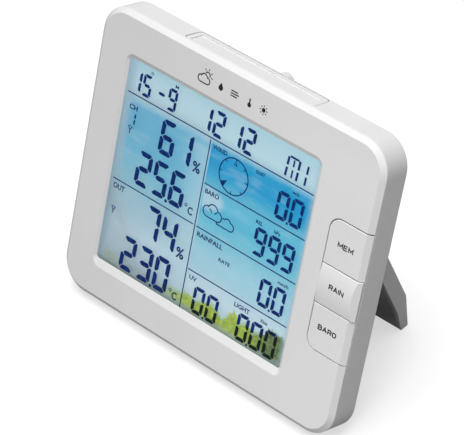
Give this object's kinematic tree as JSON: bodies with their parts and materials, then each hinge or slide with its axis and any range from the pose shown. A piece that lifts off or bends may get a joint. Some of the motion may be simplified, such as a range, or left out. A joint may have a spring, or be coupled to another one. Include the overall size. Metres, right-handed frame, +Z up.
{
  "type": "weather station display console",
  "caption": "Desk-top weather station console: a leaning white case with a colour segment display, front, top and rear keys, and a fold-out rear stand.",
  "frame": {"origin": "on the surface that the console stands on, under the middle of its bounding box", "axes": "+X to the right of a person who faces the display, +Y to the back, +Z up; the display faces -Y and leans back by 22 degrees"},
  "size_m": [0.13, 0.0626, 0.1056],
  "materials": {
    "case_white": "fine satin moulded ABS",
    "key_white": "fine satin moulded ABS, printed",
    "key_grey": "satin moulded plastic",
    "stand_white": "fine satin moulded ABS",
    "display_glass": "polished glass with polariser",
    "colour_film": "printed translucent film, lit from behind",
    "clear_acrylic": "polished acrylic",
    "white_sheet": "matt reflecting sheet",
    "frame_white": "moulded plastic",
    "circuit_board": "solder resist on glass epoxy",
    "led_yellow": "cast resin",
    "part_black": "moulded black plastic",
    "contact_metal": "bright strip",
    "cell_steel": "pressed steel",
    "grey_rubber": "silicone rubber",
    "screw_steel": "zinc-plated steel"
  },
  "bodies": {
    "console": {"front_bezel": "case_white", "rear_housing": "case_white", "lcd_front_glass": "display_glass", "lcd_rear_glass": "display_glass", "colour_film": "colour_film", "light_guide": "clear_acrylic", "reflector_sheet": "white_sheet", "display_frame": "frame_white", "backlight_board": "circuit_board", "backlight_leds": "led_yellow", "main_board": "circuit_board", "front_switches": "part_black", "rear_switches": "part_black", "snooze_switch": "part_black", "power_jack": "part_black", "power_jack_pin": "contact_metal", "coin_cell": "cell_steel", "contact_strip": "grey_rubber", "radio_board": "circuit_board", "radio_shield": "cell_steel", "climate_sensor": "part_black", "pressure_sensor": "cell_steel", "slide_switch_body": "part_black", "cell_contact_front": "contact_metal", "cell_contact_side": "contact_metal", "circuit_chips": "part_black", "capacitors": "part_black", "buzzer": "part_black", "quartz_crystal": "cell_steel", "radio_antenna": "contact_metal", "case_screws": "screw_steel", "board_screws": "screw_steel"},
    "memory_key": {"memory_key": "key_white"},
    "rain_key": {"rain_key": "key_white"},
    "baro_key": {"baro_key": "key_white"},
    "snooze_bar": {"snooze_bar": "key_white"},
    "clock_key": {"clock_key": "key_grey"},
    "alarm_key": {"alarm_key": "key_grey"},
    "up_key": {"up_key": "key_grey"},
    "down_key": {"down_key": "key_grey"},
    "slide_knob": {"slide_knob": "part_black"},
    "battery_cap": {"battery_cap": "case_white"},
    "stand": {"stand": "stand_white"}
  },
  "joints": [
    {"name": "memory_key_press", "type": "slide", "parent": "console", "child": "memory_key", "axis": [0, 0.9272, -0.3746], "range_m": [0, 0.0003], "stiffness_N_per_m": 2500},
    {"name": "rain_key_press", "type": "slide", "parent": "console", "child": "rain_key", "axis": [0, 0.9272, -0.3746], "range_m": [0, 0.0003], "stiffness_N_per_m": 2500},
    {"name": "baro_key_press", "type": "slide", "parent": "console", "child": "baro_key", "axis": [0, 0.9272, -0.3746], "range_m": [0, 0.0003], "stiffness_N_per_m": 2500},
    {"name": "snooze_bar_press", "type": "slide", "parent": "console", "child": "snooze_bar", "axis": [0, -0.3746, -0.9272], "range_m": [0, 0.0008], "stiffness_N_per_m": 2000},
    {"name": "clock_key_press", "type": "slide", "parent": "console", "child": "clock_key", "axis": [0, -0.9272, 0.3746], "range_m": [0, 0.0005], "stiffness_N_per_m": 2500},
    {"name": "alarm_key_press", "type": "slide", "parent": "console", "child": "alarm_key", "axis": [0, -0.9272, 0.3746], "range_m": [0, 0.0005], "stiffness_N_per_m": 2500},
    {"name": "up_key_press", "type": "slide", "parent": "console", "child": "up_key", "axis": [0, -0.9272, 0.3746], "range_m": [0, 0.0005], "stiffness_N_per_m": 2500},
    {"name": "down_key_press", "type": "slide", "parent": "console", "child": "down_key", "axis": [0, -0.9272, 0.3746], "range_m": [0, 0.0005], "stiffness_N_per_m": 2500},
    {"name": "slide_knob_travel", "type": "slide", "parent": "console", "child": "slide_knob", "axis": [1, 0, 0], "range_m": [-0.0022, 0.0022]},
    {"name": "battery_cap_turn", "type": "hinge", "parent": "console", "child": "battery_cap", "pos_m": [0.033, 0.02436, 0.07228], "axis": [0, 0.9272, -0.3746], "range_deg": [0, 45]},
    {"name": "stand_hinge", "type": "hinge", "parent": "console", "child": "stand", "pos_m": [0, 0.01543, 0.05551], "axis": [1, 0, 0], "range_deg": [-39.2, 0]}
  ]
}
